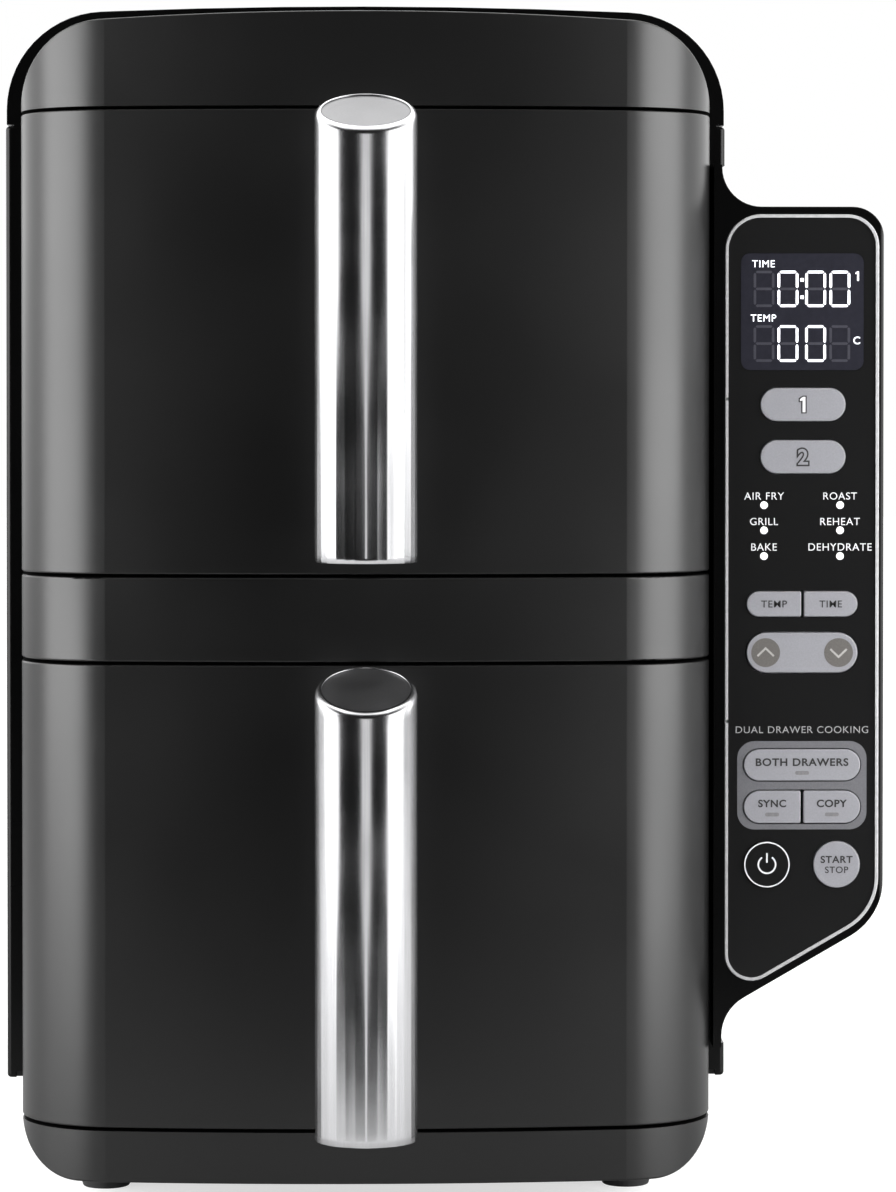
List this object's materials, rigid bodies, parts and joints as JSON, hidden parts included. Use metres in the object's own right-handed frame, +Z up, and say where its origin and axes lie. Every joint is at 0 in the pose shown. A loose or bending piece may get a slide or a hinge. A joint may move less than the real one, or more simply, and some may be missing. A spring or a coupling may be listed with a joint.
{
  "type": "two-drawer air fryer",
  "caption": "Tall countertop air fryer with stacked pull-out basket drawers, round bar handles and a narrow control pod on its right side.",
  "frame": {"origin": "bottom centre of the whole object's bounding box", "axes": "+Z up, front with the handles and controls faces -Y, control pod on +X"},
  "size_m": [0.2794, 0.47, 0.3803],
  "materials": {
    "graphite_front": "matte",
    "black_gloss": "gloss",
    "black_plastic": "satin",
    "rubber_black": "matte",
    "silicone_black": "matte",
    "screw_steel": "satin",
    "sheet_steel": "satin",
    "fan_aluminium": "satin",
    "fan_plastic": "satin",
    "nonstick_grey": "satin",
    "stainless": "polished",
    "cap_grey": "satin",
    "trim_silver": "satin",
    "panel_black": "satin",
    "display_glass": "gloss",
    "circuit_board": "satin",
    "display_block": "satin",
    "light_white": "gloss",
    "key_silver": "satin"
  },
  "bodies": {
    "cabinet": {"front_frame": "graphite_front", "housing_shell": "black_gloss", "side_cover_left": "black_gloss", "side_cover_right": "black_gloss", "control_housing": "black_gloss", "rear_cover": "black_plastic", "base_pan": "black_plastic", "rubber_feet": "rubber_black", "housing_screws": "screw_steel", "cord_gland": "black_plastic", "power_board": "circuit_board", "drawer_switches": "black_plastic", "drawer_runners": "screw_steel", "temperature_probes": "screw_steel", "chamber_upper": "sheet_steel", "chamber_lower": "sheet_steel", "heater_upper": "sheet_steel", "heater_lower": "sheet_steel", "fan_guard_upper": "sheet_steel", "fan_guard_lower": "sheet_steel", "motor_upper": "sheet_steel", "motor_lower": "sheet_steel", "panel_bezel": "trim_silver", "panel_fascia": "panel_black", "display_lens": "display_glass", "display_module": "display_block", "control_board": "circuit_board", "mode_lights": "light_white"},
    "lower_drawer": {"drawer_front_lower": "graphite_front", "drawer_backing_lower": "black_plastic", "basket_lower": "nonstick_grey", "handle_grip_lower": "stainless", "handle_caps_lower": "cap_grey", "handle_mount_lower": "black_plastic"},
    "lower_plate": {"crisper_plate_lower": "nonstick_grey", "plate_bumpers_lower": "silicone_black"},
    "lower_fan": {"convection_fan_lower": "fan_aluminium", "motor_shaft_lower": "screw_steel", "cooling_fan_lower": "fan_plastic"},
    "upper_drawer": {"drawer_front_upper": "graphite_front", "drawer_backing_upper": "black_plastic", "basket_upper": "nonstick_grey", "handle_grip_upper": "stainless", "handle_caps_upper": "cap_grey", "handle_mount_upper": "black_plastic"},
    "upper_plate": {"crisper_plate_upper": "nonstick_grey", "plate_bumpers_upper": "silicone_black"},
    "upper_fan": {"convection_fan_upper": "fan_aluminium", "motor_shaft_upper": "screw_steel", "cooling_fan_upper": "fan_plastic"},
    "zone_1_key_body": {"zone_1_key": "key_silver"},
    "zone_2_key_body": {"zone_2_key": "key_silver"},
    "temp_key_body": {"temp_key": "key_silver"},
    "time_key_body": {"time_key": "key_silver"},
    "adjust_rocker_body": {"adjust_rocker": "key_silver"},
    "both_zones_key_body": {"both_zones_key": "key_silver"},
    "sync_key_body": {"sync_key": "key_silver"},
    "copy_key_body": {"copy_key": "key_silver"},
    "power_key_body": {"power_key": "panel_black"},
    "start_key_body": {"start_key": "key_silver"}
  },
  "joints": [
    {"name": "lower_drawer_slide", "type": "slide", "parent": "cabinet", "child": "lower_drawer", "axis": [0, -1, 0], "range_m": [0, 0.32]},
    {"name": "lower_plate_lift", "type": "slide", "parent": "lower_drawer", "child": "lower_plate", "axis": [0, 0, 1], "range_m": [0, 0.09]},
    {"name": "lower_fan_spin", "type": "hinge", "parent": "cabinet", "child": "lower_fan", "pos_m": [-0.0248, 0.1683, 0.0981], "axis": [0, 1, 0], "continuous": true},
    {"name": "upper_drawer_slide", "type": "slide", "parent": "cabinet", "child": "upper_drawer", "axis": [0, -1, 0], "range_m": [0, 0.32]},
    {"name": "upper_plate_lift", "type": "slide", "parent": "upper_drawer", "child": "upper_plate", "axis": [0, 0, 1], "range_m": [0, 0.09]},
    {"name": "upper_fan_spin", "type": "hinge", "parent": "cabinet", "child": "upper_fan", "pos_m": [-0.0248, 0.1683, 0.2704], "axis": [0, 1, 0], "continuous": true},
    {"name": "zone_1_key_press", "type": "slide", "parent": "cabinet", "child": "zone_1_key_body", "axis": [0, 1, 0], "range_m": [0, 0.0008], "stiffness_N_per_m": 1200},
    {"name": "zone_2_key_press", "type": "slide", "parent": "cabinet", "child": "zone_2_key_body", "axis": [0, 1, 0], "range_m": [0, 0.0008], "stiffness_N_per_m": 1200},
    {"name": "temp_key_press", "type": "slide", "parent": "cabinet", "child": "temp_key_body", "axis": [0, 1, 0], "range_m": [0, 0.0008], "stiffness_N_per_m": 1200},
    {"name": "time_key_press", "type": "slide", "parent": "cabinet", "child": "time_key_body", "axis": [0, 1, 0], "range_m": [0, 0.0008], "stiffness_N_per_m": 1200},
    {"name": "adjust_rocker_tilt", "type": "hinge", "parent": "cabinet", "child": "adjust_rocker_body", "pos_m": [0.1137, -0.1343, 0.17445], "axis": [0, 0, 1], "range_deg": [-1.8, 1.8], "stiffness_Nm_per_rad": 0.5},
    {"name": "both_zones_key_press", "type": "slide", "parent": "cabinet", "child": "both_zones_key_body", "axis": [0, 1, 0], "range_m": [0, 0.0008], "stiffness_N_per_m": 1200},
    {"name": "sync_key_press", "type": "slide", "parent": "cabinet", "child": "sync_key_body", "axis": [0, 1, 0], "range_m": [0, 0.0008], "stiffness_N_per_m": 1200},
    {"name": "copy_key_press", "type": "slide", "parent": "cabinet", "child": "copy_key_body", "axis": [0, 1, 0], "range_m": [0, 0.0008], "stiffness_N_per_m": 1200},
    {"name": "power_key_press", "type": "slide", "parent": "cabinet", "child": "power_key_body", "axis": [0, 1, 0], "range_m": [0, 0.0008], "stiffness_N_per_m": 1200},
    {"name": "start_key_press", "type": "slide", "parent": "cabinet", "child": "start_key_body", "axis": [0, 1, 0], "range_m": [0, 0.0008], "stiffness_N_per_m": 1200}
  ]
}
